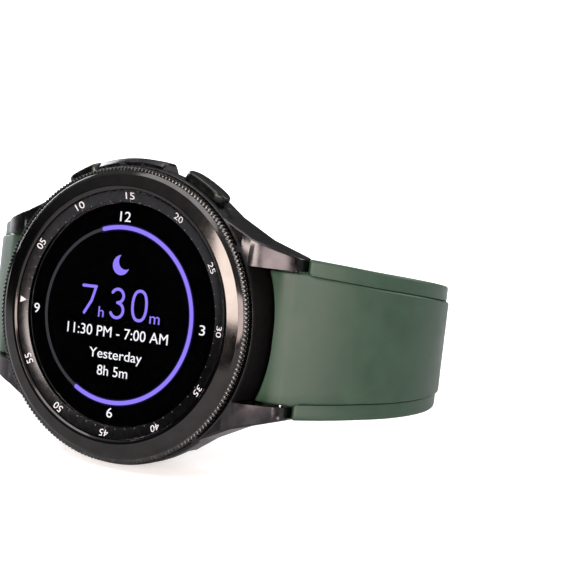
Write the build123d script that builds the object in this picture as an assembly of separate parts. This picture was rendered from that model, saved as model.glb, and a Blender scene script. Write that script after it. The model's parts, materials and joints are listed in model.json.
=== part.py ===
from build123d import *
import os
from math import atan2, cos, degrees, hypot, radians, sin

# Round smartwatch with a turning bezel, two side keys and an open two-piece strap.
#
# Every piece is drawn in the watch's own frame, in millimetres:
#   X  across the case towards the long strap (6 o'clock)
#   Y  towards the two keys (3 o'clock)
#   Z  out of the display, with 0 at the top of the cover glass
# place() then stands the watch on the side of its case, with the keys up, the display facing -Y
# and the rear edge of the strap on the same floor, so it leans back a little.

# ---- driving dimensions ----------------------------------------------------------------------
CASE_R = 22.75           # case flank
CASE_TOP_Z = -1.3        # deck under the bezel
FLANK_LOW_Z = -4.0       # the flank is upright down to here, then tapers inwards
CASE_BOTTOM_Z = -8.6
CASE_INNER_R = 19.2      # bore of the case below the deck
DECK_INNER_R = 16.4
BACK_Z = -9.5            # flat of the back cover
BOSS_R = 18.5            # upstand that the bezel turns round
GLASS_R = 17.2           # the numeral ring hides its edge
GLASS_T = 0.8

BEZEL_GRIP_R = 22.4
BEZEL_TEETH = 216
TOOTH_DEPTH = 0.22
DETENTS = 24

LUG_INNER_Y = 10.0
LUG_TIP_X = 27.0
BAR_X = 25.4             # spring bar centre
BAR_Z = -7.2
BAR_R = 0.75
PIN_R = 0.45             # spring bar tips
RUNNING = 0.05           # radial clearance of everything that turns or slides in a hole

STRAP_T = 2.4
STRAP_START = (25.4, -5.0)       # outer surface above the spring bar: X, Z
STRAP_START_HEADING = 33         # degrees that the strap drops away from the case's plane
PANEL_STEP = 0.4                 # the side strips lie this much below the centre panel
STRIP_W = 2.5
STRIP_START_X = 28.4             # the side strips start just past the lugs
STRAP_HOLLOW_R = 24.0            # hollow end of the strap, about the case's axis

# Strap runs, as (length, turn in degrees) from the spring bar outwards, on the outer surface.
SHOULDER_RUN = [(13, 18), (15, 36), (8, 26)]
LONG_RUN = SHOULDER_RUN + [(18.6, 0), (33, 67), (19.5, 0), (3.0, 8)]
SHORT_RUN = SHOULDER_RUN + [(10, 0), (17, 57)]

# Half widths of the strap as (half width, Z) from the case to the rear.
REAR_HALF = 8.4
LONG_WIDTHS = [(12.1, 0), (12.1, -5), (11.1, -14.5), (9.6, -35), (REAR_HALF, -69.9), (REAR_HALF, -80)]
SHORT_WIDTHS = [(12.1, 0), (12.1, -5), (11.1, -14.5), (9.6, -35), (9.6, -44), (8.2, -53), (8.2, -80)]

HOLE_COUNT = 9
HOLE_PITCH = 6.0
HOLE_END = 18.0          # from the strap's tip to its last hole
HOLE_R = 1.2

KEY_ANGLES = {"home_key": 62, "back_key": 118}     # degrees from +X
KEY_Z = -3.8
KEY_LENGTH = {"home_key": 8.0, "back_key": 6.6}
KEY_WIDTH = 3.4
KEY_OUTER_R = 24.2
KEY_TRAVEL = 0.4
KEY_STEM_LOW = 18.4      # inner end of the stem, from the case's axis
KEY_SEAL_LOW = 20.7

BUCKLE_HALF = 9.9        # outside half width of the buckle frame
BUCKLE_BAR = 1.4         # width of its side arms
BUCKLE_REACH = 10.2      # strap pin to the middle of the cross bar
STRAP_PIN_R = 0.75

nodes = {}


# ---- drawing helpers ---------------------------------------------------------------------------
def turned(points, sweep=360):
    """A solid of revolution about Z from (radius, z) points."""
    face = make_face(Polyline(*[(r, 0, z) for r, z in points], close=True))
    return revolve(face, axis=Axis.Z, revolution_arc=sweep)


def disc(radius, top, bottom):
    return turned([(0, bottom), (radius, bottom), (radius, top), (0, top)])


def ring(outer, inner, top, bottom, sweep=360):
    return turned([(inner, bottom), (outer, bottom), (outer, top), (inner, top)], sweep)


def block(size, centre, corner=0.0):
    """A box with upright edges rounded to corner."""
    plan = RectangleRounded(size[0], size[1], corner) if corner else Rectangle(size[0], size[1])
    return Pos(centre[0], centre[1], centre[2] - size[2] / 2) * extrude(plan, amount=size[2])


def side_plate(points, low_y, high_y):
    """A plate drawn in X and Z, filling from low_y to high_y."""
    face = make_face(Polyline(*[(x, low_y, z) for x, z in points], close=True))
    return extrude(face, amount=high_y - low_y, dir=(0, 1, 0))


def rod(radius, start, end):
    """A round rod between two points."""
    axis = Vector(*end) - Vector(*start)
    return extrude(Plane(origin=start, z_dir=axis) * Circle(radius), amount=axis.length)


def polar(radius, angle, z=0.0):
    return (radius * cos(radians(angle)), radius * sin(radians(angle)), z)


def mirrored(shape):
    """The same piece on the 12 o'clock side."""
    return mirror(shape, about=Plane.YZ)


# ---- strap geometry ----------------------------------------------------------------------------
def walk(run, distance):
    """Point (x, z) and heading in degrees at a distance along the strap's outer surface."""
    x, z = STRAP_START
    heading = radians(STRAP_START_HEADING)
    for length, turn in run:
        step = min(length, distance)
        angle = radians(turn) * step / length
        chord = step if turn == 0 else 2 * length / radians(turn) * sin(angle / 2)
        x += chord * cos(heading + angle / 2)
        z -= chord * sin(heading + angle / 2)
        heading += angle
        distance -= step
        if distance <= 0:
            break
    return x, z, degrees(heading)


def strap_plane(run, distance):
    """X along the strap, Y across it, Z out of its outer surface."""
    x, z, heading = walk(run, distance)
    along = (cos(radians(heading)), 0, -sin(radians(heading)))
    out = (sin(radians(heading)), 0, cos(radians(heading)))
    return Plane(origin=(x, 0, z), x_dir=along, z_dir=out)


def run_length(run):
    return sum(length for length, turn in run)


def strap_line(run, depth):
    """The strap's side view line at a depth below its outer surface, as joined edges."""
    edges = []
    travelled = 0
    for length, turn in run:
        stops = [travelled, travelled + length / 2, travelled + length]
        ends = []
        for stop in stops:
            x, z, heading = walk(run, stop)
            ends.append((x - depth * sin(radians(heading)), 0, z - depth * cos(radians(heading))))
        edges.append(Line(ends[0], ends[2]) if turn == 0 else ThreePointArc(*ends))
        travelled += length
    return edges


def strap_band(run, outer_depth, inner_depth):
    """The strap's side view between two depths, pulled out to more than its full width."""
    outside = strap_line(run, outer_depth)
    inside = strap_line(run, inner_depth)
    ends = [Line(outside[0] @ 0, inside[0] @ 0), Line(outside[-1] @ 1, inside[-1] @ 1)]
    face = make_face(outside + inside + ends)
    return extrude(face, amount=20, both=True, dir=(0, 1, 0))


def width_mask(widths, inset):
    """Everything within the strap's tapering half width, less an inset each side."""
    right = [(w - inset, z) for w, z in widths]
    left = [(-w, z) for w, z in reversed(right)]
    face = make_face(Polyline(*[(0, y, z) for y, z in right + left], close=True))
    return extrude(face, amount=70, both=True, dir=(1, 0, 0))


def strap_body(run, widths):
    """Panel, recessed side strips and the barrel round the spring bar, hugging the round case."""
    strips = strap_band(run, PANEL_STEP, STRAP_T) & width_mask(widths, 0)
    panel = strap_band(run, 0, STRAP_T) & width_mask(widths, STRIP_W)
    strips -= Pos(STRIP_START_X - 20, 0, -10) * Box(40, 60, 30)
    inner_y = LUG_INNER_Y - 0.2
    barrel_r = abs(STRAP_START[1] - BAR_Z)
    barrel = rod(barrel_r, (BAR_X, -inner_y, BAR_Z), (BAR_X, inner_y, BAR_Z))
    root_outline = [(20.5, BAR_Z + barrel_r), (BAR_X, BAR_Z + barrel_r), (BAR_X, BAR_Z - 0.9),
                    (21.5, BAR_Z - 0.9)]
    root = side_plate(root_outline, -inner_y, inner_y)
    neck_outline = [(BAR_X, BAR_Z + barrel_r - 0.05), (28.4, -7.0), (28.4, -9.6), (BAR_X, -9.4)]
    neck = side_plate(neck_outline, -inner_y, inner_y)
    panel -= side_plate([(0, 5), (STRIP_START_X, 5), (STRIP_START_X, -20), (0, -20)], inner_y, 30)
    panel -= side_plate([(0, 5), (STRIP_START_X, 5), (STRIP_START_X, -20), (0, -20)], -30, -inner_y)
    body = panel + barrel + root + neck + strips
    body -= disc(STRAP_HOLLOW_R, 5, -20)
    body -= rod(BAR_R, (BAR_X, -30, BAR_Z), (BAR_X, 30, BAR_Z))
    # Finger pocket for the quick release lever, on the wrist side.
    body -= block((2.6, 5.0, 4.0), (BAR_X, -6.4, BAR_Z - 2.2))
    return body


# ---- case ----------------------------------------------------------------------------------------
def lug(side_x, side_y):
    """One horn of the case that carries a strap's spring bar."""
    plan = make_face(Polyline((14, LUG_INNER_Y, 0), (LUG_TIP_X, LUG_INNER_Y, 0), (LUG_TIP_X, 11.9, 0),
                              (20.5, 14.0, 0), (15.0, 16.8, 0), (11.5, 19.3, 0), (9, 17, 0), close=True))
    horn = Pos(0, 0, -12) * extrude(plan, amount=14)
    top = ThreePointArc((19.0, 0, CASE_TOP_Z - 0.2), (24.2, 0, -2.9), (26.6, 0, -5.0))
    edge = [Line((26.6, 0, -5.0), (LUG_TIP_X, 0, -5.5)), Line((LUG_TIP_X, 0, -5.5), (LUG_TIP_X, 0, -8.8)),
            Line((LUG_TIP_X, 0, -8.8), (26.4, 0, -9.2)), Line((26.4, 0, -9.2), (5, 0, -8.4)),
            Line((5, 0, -8.4), (5, 0, CASE_TOP_Z - 0.2)), Line((5, 0, CASE_TOP_Z - 0.2), top @ 0)]
    profile = extrude(make_face([top] + edge), amount=30, both=True, dir=(0, 1, 0))
    horn = horn & profile
    hole = rod(PIN_R + RUNNING, (BAR_X, LUG_INNER_Y - 1, BAR_Z), (BAR_X, LUG_INNER_Y + 1.1, BAR_Z))
    horn -= hole
    outer_edges = horn.edges().filter_by(lambda e: e.center().Y > 11.0 and e.center().X > 13)
    horn = fillet(outer_edges, 0.35)
    if side_y < 0:
        horn = mirror(horn, about=Plane.XZ)
    if side_x < 0:
        horn = mirrored(horn)
    return horn


def key_plane(angle):
    """X along the key, Y towards the display and Z straight out of the flank, from the case's axis."""
    out = Vector(*polar(1, angle))
    return Plane(origin=(0, 0, KEY_Z), x_dir=(-out.Y, out.X, 0), z_dir=out)


def key_stadium(length, width, low, high, angle):
    """A rounded bar across the flank between two heights above the case's axis."""
    plane = key_plane(angle)
    plan = plane.offset(low) * RectangleRounded(length, width, width / 2 - 0.05)
    return extrude(plan, amount=high - low)


def key_guard():
    """The raised shoulder of the case between the two keys."""
    guard = turned([(21.5, -1.7), (23.2, -1.7), (23.9, -2.4), (23.9, -4.9), (22.6, -6.2), (21.0, -6.2)], 30)
    guard = Rot(0, 0, 80) * guard
    ends = guard.edges().filter_by(lambda e: e.center().Z > -5.5
                                   and hypot(e.center().X, e.center().Y) > 23.3)
    return fillet(ends, 0.4)


def case_body():
    shell = turned([(DECK_INNER_R, -3.2), (CASE_INNER_R, -3.2), (CASE_INNER_R, CASE_BOTTOM_Z),
                    (20.4, CASE_BOTTOM_Z), (21.0, -8.0), (CASE_R, FLANK_LOW_Z), (CASE_R, CASE_TOP_Z - 0.25),
                    (CASE_R - 0.25, CASE_TOP_Z), (BOSS_R, CASE_TOP_Z), (BOSS_R, -0.95), (BOSS_R - 0.3, -0.95),
                    (BOSS_R - 0.3, -0.45), (BOSS_R, -0.45), (BOSS_R, -0.1), (GLASS_R + 0.1, -0.1),
                    (GLASS_R + 0.1, -2.3), (DECK_INNER_R, -2.3)])
    bore = disc(CASE_INNER_R, -3.2, -12) + disc(DECK_INNER_R + 0.01, 2, -5)
    lugs = lug(1, 1) + lug(1, -1) + lug(-1, 1) + lug(-1, -1)
    web = ring(CASE_R, CASE_INNER_R + 1.0, FLANK_LOW_Z, CASE_BOTTOM_Z) & Box(60, 2 * LUG_INNER_Y, 40)
    body = shell + (lugs - disc(CASE_INNER_R + 1.0, 5, -20)) + web + key_guard()
    body -= bore
    for name, angle in KEY_ANGLES.items():
        body -= key_stadium(KEY_LENGTH[name] + 0.3, KEY_WIDTH + 0.3, 21.6, 30, angle)
        body -= extrude(key_plane(angle).offset(15) * Circle(0.8 + RUNNING), amount=12)
        body -= extrude(key_plane(angle).offset(KEY_SEAL_LOW - KEY_TRAVEL - 0.1) * Circle(1.35), amount=1.8)
        body -= key_stadium(4.4, 2.5, 15, 19.25, angle)
    # Speaker slots, microphone hole and air vent in the flank opposite the keys.
    for step in range(-2, 3):
        body -= Rot(0, 0, 205 + 4.2 * step) * rod(0.45, (15, 0, -5.2), (26, 0, -5.2))
    body -= Rot(0, 0, 155) * rod(0.4, (15, 0, -5.2), (26, 0, -5.2))
    body -= Rot(0, 0, 335) * rod(0.3, (15, 0, -5.2), (26, 0, -5.2))
    # Pockets for the click balls under the bezel.
    for index in range(3):
        body -= Rot(0, 0, 15 + 120 * index) * Pos(20.0, 0, -1.7) * Cylinder(0.4, 1.6)
    return body


# ---- bezel -----------------------------------------------------------------------------------------
def bezel_ring():
    """Turned ring with a polished crown and a coin edge."""
    body = turned([(18.8, -0.1), (18.8, 0.75), (19.0, 1.05), (19.4, 1.15), (21.4, 0.85), (21.75, 0.7),
                   (22.1, 0.45), (22.1, -0.95), (21.9, -1.1), (20.7, -1.1), (20.7, -0.55), (19.3, -0.55),
                   (19.3, -1.1), (18.8, -1.1), (18.8, -0.8), (19.1, -0.8), (19.1, -0.5), (18.8, -0.5)])
    corners = []
    for tooth in range(BEZEL_TEETH):
        middle = 360 * tooth / BEZEL_TEETH
        pitch = 360 / BEZEL_TEETH
        corners.append(polar(BEZEL_GRIP_R, middle - 0.16 * pitch))
        corners.append(polar(BEZEL_GRIP_R, middle + 0.16 * pitch))
        corners.append(polar(BEZEL_GRIP_R - TOOTH_DEPTH, middle + 0.36 * pitch))
        corners.append(polar(BEZEL_GRIP_R - TOOTH_DEPTH, middle + 0.64 * pitch))
    outline = make_face(Polyline(*corners, close=True)) - Circle(21.95)
    grip = Pos(0, 0, -0.85) * extrude(outline, amount=1.3)
    return body + grip


def numeral_ring():
    return turned([(17.0, 0.18), (18.7, 0.72), (18.7, 0.14), (17.1, 0.1)])


def detent_ring():
    """Notched ring under the bezel that the click balls ride over."""
    body = ring(20.65, 19.35, -0.55, -0.95)
    for index in range(DETENTS):
        notch = Rot(0, 0, 15 + 360 * index / DETENTS) * Pos(20.0, 0, -1.35) * Sphere(0.6)
        body -= notch
    return body


# ---- insides and back --------------------------------------------------------------------------------
def inner_frame():
    """Moulded chassis that carries the battery and the boards."""
    frame = disc(18.9, -3.3, -8.2)
    frame -= block((25.6, 19.6, 3.9), (1.5, -1.0, -6.5), 1.6)
    frame -= block((31, 24.5, 1.4), (0, 0, -3.8), 4)
    for angle in KEY_ANGLES.values():
        frame -= Rot(0, 0, angle) * Pos(17.9, 0, KEY_Z) * Box(5.0, 5.6, 4.6)
    frame -= Rot(0, 0, 205) * Pos(16.6, 0, -5.8) * Box(4.2, 9.4, 3.0)
    frame -= Rot(0, 0, 155) * Pos(17.0, 0, -5.4) * Box(3.4, 4.4, 2.2)
    frame -= Rot(0, 0, 335) * Pos(17.0, 0, -5.4) * Box(3.4, 3.4, 2.2)
    frame -= Pos(1.0, 13.2, -6.6) * Box(10.6, 4.4, 3.4)
    return frame


def main_board():
    board = disc(14.8, -3.2, -3.8) & block((30.6, 24, 4), (0, 0, -3.5), 4)
    return board


def board_chips():
    """Packages under the board, as separate solids."""
    chips = [block((6, 5, 0.5), (-9.8, 4, -4.05)), block((4, 4, 0.5), (-10.2, -3, -4.05)),
             block((3, 2, 0.5), (-8.6, -8, -4.05)), block((3.4, 3.4, 0.5), (10.8, 5.6, -4.05))]
    return Compound(children=chips)


def sensor_leds():
    spots = [(0, 0)] + [polar(2.4, 90 * k)[:2] for k in range(4)]
    return Compound(children=[block((1.3, 1.3, 0.3), (x, y, -9.45)) for x, y in spots])


def sensor_diodes():
    spots = [polar(5.6, 22.5 + 45 * k)[:2] for k in range(8)]
    return Compound(children=[block((1.9, 1.9, 0.3), (x, y, -9.45)) for x, y in spots])


def back_screws():
    screws = []
    for angle in (45, 135, 225, 315):
        x, y, z = polar(17.6, angle)
        screw = Pos(x, y, -9.15) * Cylinder(0.95, 0.5)
        screw += Pos(x, y, -8.4) * Cylinder(0.5, 1.2)
        slot = Pos(x, y, -9.4) * Box(1.3, 0.3, 0.4)
        screws.append(screw - slot)
    return Compound(children=screws)


def back_cover():
    cover = turned([(9.0, -9.0), (16.0, -9.0), (16.0, -8.65), (19.0, -8.65), (20.2, -8.65), (20.0, -9.0),
                    (19.3, BACK_Z), (12.2, BACK_Z), (12.2, -9.2), (9.0, -9.2)])
    for angle in (45, 135, 225, 315):
        x, y, z = polar(17.6, angle)
        cover -= Pos(x, y, -9.2) * Cylinder(1.0, 0.7)
        cover -= Pos(x, y, -8.9) * Cylinder(0.5, 2)
    for angle in (0, 180):
        cover -= Rot(0, 0, angle - 65) * ring(15.5, 13.1, -9.25, -10, 130)
    return cover


def frame_screw_holes(shape):
    """Cuts the threaded holes that take the back screws."""
    for angle in (45, 135, 225, 315):
        x, y, z = polar(17.6, angle)
        shape -= Pos(x, y, -8.2) * Cylinder(0.5, 1.64)
    return shape


def electrode(angle):
    return Rot(0, 0, angle - 65) * ring(15.5, 13.1, -9.25, -9.7, 130)


def sensor_window():
    """Domed crystal over the optical sensors."""
    top = -9.6
    dome = revolve(make_face([Line((0, 0, top), (0, 0, -11.0)),
                              ThreePointArc((0, 0, -11.0), (7.0, 0, -10.75), (12.1, 0, -9.85)),
                              Line((12.1, 0, -9.85), (12.1, 0, -9.2)), Line((12.1, 0, -9.2), (11.0, 0, -9.2)),
                              Line((11.0, 0, -9.2), (11.0, 0, top)), Line((11.0, 0, top), (0, 0, top))]),
                   axis=Axis.Z)
    return dome


def build_case():
    nodes["case_body"] = case_body()
    nodes["cover_glass"] = turned([(0, -GLASS_T), (GLASS_R, -GLASS_T), (GLASS_R, -0.3), (GLASS_R - 0.3, 0), (0, 0)])
    nodes["glass_gasket"] = ring(GLASS_R, 16.7, -GLASS_T, -2.3)
    nodes["display_panel"] = disc(16.3, -GLASS_T, -1.8)
    nodes["display_shield"] = disc(15.8, -1.85, -2.15)
    nodes["bezel_glide_ring"] = ring(21.9, 20.8, -1.15, CASE_TOP_Z)
    balls = [Rot(0, 0, 15 + 120 * k) * Pos(20.0, 0, -1.38) * Sphere(0.36) for k in range(3)]
    nodes["click_balls"] = Compound(children=balls)
    springs = [Rot(0, 0, 15 + 120 * k) * Pos(20.0, 0, -2.1) * Cylinder(0.3, 0.7) for k in range(3)]
    nodes["click_springs"] = Compound(children=springs)
    nodes["inner_frame"] = frame_screw_holes(inner_frame())
    nodes["main_board"] = main_board()
    nodes["board_chips"] = board_chips()
    nodes["board_shield"] = block((13, 9, 0.5), (3.5, 6.5, -2.9), 0.8)
    nodes["battery"] = block((25.0, 19.0, 3.4), (1.5, -1.0, -6.5), 1.5)
    nodes["vibration_motor"] = block((10.0, 3.8, 2.8), (1.0, 13.2, -6.6), 0.6)
    nodes["speaker_module"] = Rot(0, 0, 205) * Pos(16.6, 0, -5.8) * Box(3.8, 9.0, 2.6)
    nodes["microphone"] = Rot(0, 0, 155) * Pos(17.2, 0, -5.4) * Box(2.4, 3.6, 1.2)
    nodes["pressure_sensor"] = Rot(0, 0, 335) * Pos(17.2, 0, -5.4) * Box(2.2, 2.4, 1.2)
    for name, angle in KEY_ANGLES.items():
        nodes[name + "_switch"] = key_stadium(3.2, 1.8, 16.2, KEY_STEM_LOW - KEY_TRAVEL - 0.1, angle)
    nodes["charging_coil"] = ring(11.6, 8.2, -8.3, -8.9)
    nodes["ferrite_sheet"] = disc(12.4, -8.22, -8.28)
    nodes["sensor_board"] = disc(7.8, -8.5, -9.3)
    nodes["sensor_leds"] = sensor_leds()
    nodes["sensor_photodiodes"] = sensor_diodes()
    nodes["sensor_window"] = sensor_window()
    nodes["back_cover"] = back_cover()
    nodes["back_gasket"] = ring(19.15, 18.4, -8.22, -8.63)
    nodes["electrode_upper"] = electrode(0)
    nodes["electrode_lower"] = electrode(180)
    nodes["back_screws"] = back_screws()


def build_bezel():
    nodes["bezel_ring"] = bezel_ring()
    nodes["numeral_ring"] = numeral_ring()
    nodes["detent_ring"] = detent_ring()
    nodes["bezel_retaining_ring"] = ring(19.05, BOSS_R - 0.2, -0.55, -0.75, 346)


# ---- keys --------------------------------------------------------------------------------------------
def build_keys():
    for name, angle in KEY_ANGLES.items():
        cap = key_stadium(KEY_LENGTH[name], KEY_WIDTH, 22.2, 26, angle)
        cap &= disc(KEY_OUTER_R, 10, -20)
        edges = cap.edges().filter_by(lambda e: hypot(e.center().X, e.center().Y) > KEY_OUTER_R - 0.6)
        nodes[name + "_cap"] = fillet(edges, 0.45)
        plane = key_plane(angle)
        stem = extrude(plane.offset(KEY_STEM_LOW) * Circle(0.8), amount=3.8)
        stem -= extrude(plane.offset(18.75) * (Circle(2) - Circle(0.6)), amount=0.3)
        stem -= extrude(plane.offset(KEY_SEAL_LOW) * (Circle(2) - Circle(0.6)), amount=0.5)
        nodes[name + "_stem"] = stem
        nodes[name + "_seal"] = extrude(plane.offset(KEY_SEAL_LOW) * (Circle(1.3) - Circle(0.6)), amount=0.5)
        clip = extrude(plane.offset(18.75) * (Circle(1.1) - Circle(0.6)), amount=0.3)
        nodes[name + "_clip"] = clip


# ---- strap -------------------------------------------------------------------------------------------
def spring_bar():
    """Tube with one fixed tip; its other end is open for the quick release pin."""
    tube = rod(BAR_R, (BAR_X, -9.7, BAR_Z), (BAR_X, 9.7, BAR_Z))
    tube += rod(PIN_R, (BAR_X, 9.0, BAR_Z), (BAR_X, 10.8, BAR_Z))
    tube -= rod(PIN_R + RUNNING, (BAR_X, -12, BAR_Z), (BAR_X, -2.0, BAR_Z))
    tube -= side_plate([(BAR_X - 0.45, BAR_Z), (BAR_X + 0.45, BAR_Z), (BAR_X + 0.45, -12), (BAR_X - 0.45, -12)],
                       -8.3, -5.0)
    return tube


def quick_release_pin():
    """Sliding tip with the small lever that draws it out of the lug."""
    pin = rod(PIN_R, (BAR_X, -10.8, BAR_Z), (BAR_X, -4.2, BAR_Z))
    lever = block((0.7, 1.2, 2.4), (BAR_X, -7.4, BAR_Z - 1.2))
    head = block((1.6, 1.4, 0.6), (BAR_X, -7.4, BAR_Z - 1.9), 0.3)
    return pin + lever + head


def long_strap():
    body = strap_body(LONG_RUN, LONG_WIDTHS)
    total = run_length(LONG_RUN)
    for index in range(HOLE_COUNT):
        plane = strap_plane(LONG_RUN, total - HOLE_END - HOLE_PITCH * index)
        body -= extrude(plane.offset(-5) * SlotOverall(2.9, 2 * HOLE_R), amount=10)
    tip = strap_plane(LONG_RUN, total)
    width = 2 * REAR_HALF
    corners = Pos(-2.4, 0) * Rectangle(5.2, 24) - Pos(-20, 0) * RectangleRounded(40, width, 5)
    body -= extrude(tip.offset(-5) * corners, amount=10)
    return body


def strap_pin_place():
    """Strap plane at the buckle pin, moved down to the middle of the strap's thickness."""
    plane = strap_plane(SHORT_RUN, run_length(SHORT_RUN))
    return plane.offset(-STRAP_T / 2)


def short_strap():
    body = strap_body(SHORT_RUN, SHORT_WIDTHS)
    plane = strap_pin_place()
    eye = extrude(Plane(origin=plane.origin, x_dir=plane.x_dir, z_dir=(0, 1, 0)) * Circle(STRAP_T / 2),
                  amount=8.2, both=True)
    body += eye
    body -= plane * Box(9.0, 2.7, 8)
    body -= extrude(Plane(origin=plane.origin, x_dir=plane.x_dir, z_dir=(0, 1, 0)) * Circle(STRAP_PIN_R),
                    amount=20, both=True)
    return body


def cross_rod(plane, radius, half, x=0.0, z=0.0):
    """A rod across the strap at a place in the plane's own X and Z."""
    centre = plane.from_local_coords((x, 0, z))
    return extrude(Plane(origin=centre, x_dir=plane.x_dir, z_dir=(0, 1, 0)) * Circle(radius), amount=half, both=True)


def buckle_frame():
    plane = strap_pin_place()
    inner = BUCKLE_HALF - BUCKLE_BAR
    arm = RectangleRounded(BUCKLE_REACH + 3.2, 2.2, 1.05)
    frame = Pos(BUCKLE_REACH / 2, 0, 0) * Rot(90, 0, 0) * extrude(arm, amount=BUCKLE_HALF, both=True)
    frame -= Pos(BUCKLE_REACH / 2 - 1.2, 0, 0) * Box(BUCKLE_REACH + 1.0, 2 * inner, 6)
    frame = plane * frame
    frame += cross_rod(plane, 1.1, BUCKLE_HALF - 1, BUCKLE_REACH, 0.2)
    frame -= cross_rod(plane, STRAP_PIN_R + RUNNING, 20)
    frame -= plane * (Pos(BUCKLE_REACH, 0, 1.3) * Box(6, 2.8, 0.9))
    return frame


def buckle_tang():
    plane = strap_pin_place()
    eye = Rot(90, 0, 0) * extrude(Circle(1.45), amount=1.1, both=True)
    side = make_face(Polyline((0.2, 0, 0.5), (0.2, 0, 1.45), (BUCKLE_REACH - 2.6, 0, 1.95), (BUCKLE_REACH + 1.0, 0, 1.85),
                              (BUCKLE_REACH + 1.0, 0, 1.1), (BUCKLE_REACH - 2.6, 0, 1.05), (1.6, 0, 0.5), close=True))
    bar = extrude(side, amount=0.9, both=True, dir=(0, 1, 0))
    tang = plane * (eye + bar)
    return tang - cross_rod(plane, STRAP_PIN_R + RUNNING, 5)


def keeper(plane, width, half_inside, below, above, wall):
    """A band round the strap, with room on the outside for the other strap's end."""
    height = below + above
    outside = Box(width, 2 * (half_inside + wall), height + 2 * wall)
    outside = fillet(outside.edges().filter_by(Axis.X), 1.0)
    band = outside - Box(width + 2, 2 * half_inside, height)
    middle = (above - below) / 2
    return plane * (Pos(0, 0, middle) * band)


def build_straps():
    nodes["long_strap"] = long_strap()
    nodes["long_strap_spring_bar"] = spring_bar()
    nodes["long_strap_release_pin"] = quick_release_pin()
    nodes["short_strap"] = mirrored(short_strap())
    nodes["short_strap_spring_bar"] = mirrored(spring_bar())
    nodes["short_strap_release_pin"] = mirrored(quick_release_pin())
    straight = run_length(SHOULDER_RUN) + 5.0
    free = keeper(strap_plane(SHORT_RUN, straight), 5.0, 9.85, STRAP_T + 0.25, 2.8, 1.1)
    nodes["free_keeper"] = mirrored(free)
    fixed_at = run_length(SHORT_RUN) - 7.5
    fixed = keeper(strap_plane(SHORT_RUN, fixed_at), 3.6, 8.9, STRAP_T - 0.2, 2.8, 0.9)
    nodes["fixed_keeper"] = mirrored(fixed - short_strap())
    pin = cross_rod(strap_pin_place(), STRAP_PIN_R, BUCKLE_HALF - 0.3)
    nodes["buckle_pin"] = mirrored(pin)
    nodes["buckle_frame"] = mirrored(buckle_frame())
    nodes["buckle_tang"] = mirrored(buckle_tang())


# ---- standing pose and files ---------------------------------------------------------------------------
def rear_z():
    """Z of the long strap's rearmost outer surface."""
    return walk(LONG_RUN, run_length(LONG_RUN[:5]))[1]


def lean():
    """Angle that the watch leans back when its case flank and rear strap edge share a floor."""
    return atan2(CASE_R - REAR_HALF, FLANK_LOW_Z - rear_z())


def upright():
    """Turns the watch onto the side of its case."""
    return Rot(90 - degrees(lean()), 0, 0)


def place():
    """Turns the watch upright and puts its box's bottom centre on the origin."""
    turn = upright()
    low = [1e9, 1e9, 1e9]
    high = [-1e9, -1e9, -1e9]
    for solid in nodes.values():
        box = (turn * solid).bounding_box(optimal=True)
        for k, (a, b) in enumerate(zip(tuple(box.min), tuple(box.max))):
            low[k] = min(low[k], a)
            high[k] = max(high[k], b)
    middle = Pos(-(low[0] + high[0]) / 2, -(low[1] + high[1]) / 2, -low[2])
    return middle * turn


def main():
    build_case()
    build_bezel()
    build_keys()
    build_straps()
    where = place()
    os.makedirs("parts", exist_ok=True)
    for name, solid in nodes.items():
        export_step(where * solid, os.path.join("parts", name + ".step"))
    return where


if __name__ == "__main__":
    main()
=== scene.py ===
"""Looks of a round smartwatch with a turning bezel and an open two-piece silicone strap.

Shapes are drawn in the watch's own frame, in millimetres, and placed by watch_matrix():
  X  across the case towards the long strap (6 o'clock)
  Y  towards the two keys (3 o'clock)
  Z  out of the display, with 0 at the top of the cover glass
"""
import json
import math

import bmesh
import bpy
from mathutils import Matrix, Vector


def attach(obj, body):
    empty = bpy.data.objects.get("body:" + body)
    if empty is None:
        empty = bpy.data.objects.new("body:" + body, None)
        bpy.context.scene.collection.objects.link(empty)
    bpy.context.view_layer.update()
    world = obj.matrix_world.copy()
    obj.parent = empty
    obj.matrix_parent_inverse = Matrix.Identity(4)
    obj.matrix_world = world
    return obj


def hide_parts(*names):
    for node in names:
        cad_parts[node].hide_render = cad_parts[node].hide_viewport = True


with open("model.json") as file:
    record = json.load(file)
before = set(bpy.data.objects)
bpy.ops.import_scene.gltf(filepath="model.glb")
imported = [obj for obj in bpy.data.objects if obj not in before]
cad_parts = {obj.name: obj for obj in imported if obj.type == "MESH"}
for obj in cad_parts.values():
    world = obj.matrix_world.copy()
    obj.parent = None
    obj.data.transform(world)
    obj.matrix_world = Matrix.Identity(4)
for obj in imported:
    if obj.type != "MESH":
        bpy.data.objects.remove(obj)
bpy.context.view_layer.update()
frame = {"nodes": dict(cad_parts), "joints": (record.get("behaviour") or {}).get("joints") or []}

MM = 0.001
JOINTS = {joint["name"]: joint for joint in frame["joints"]}


def watch_matrix():
    """Takes the watch's own millimetres to the row frame's metres."""
    turn = JOINTS["bezel_turn"]
    out = Vector(turn["axis"]).normalized()
    keys = Vector(JOINTS["long_release_slide"]["axis"]).normalized()
    matrix = Matrix((keys.cross(out), keys, out)).transposed().to_4x4()
    matrix.translation = Vector(turn["pos_m"])
    return matrix @ Matrix.Scale(MM, 4)


WATCH = watch_matrix()

# ---- Dimensions, in millimetres in the watch's frame ----
SCREEN_R = 16.9
SCREEN_Z = -0.7          # printed black layer and lit graphics, inside the glass
SCREEN_TURN = 1.7        # degrees the graphics are turned in the case
SCREEN_MIDDLE = (-0.7, -0.14)   # where the graphics are centred
GRAPHICS = (WATCH @ Matrix.Translation((*SCREEN_MIDDLE, 0))
            @ Matrix.Rotation(math.radians(SCREEN_TURN), 4, "Z"))

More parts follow.
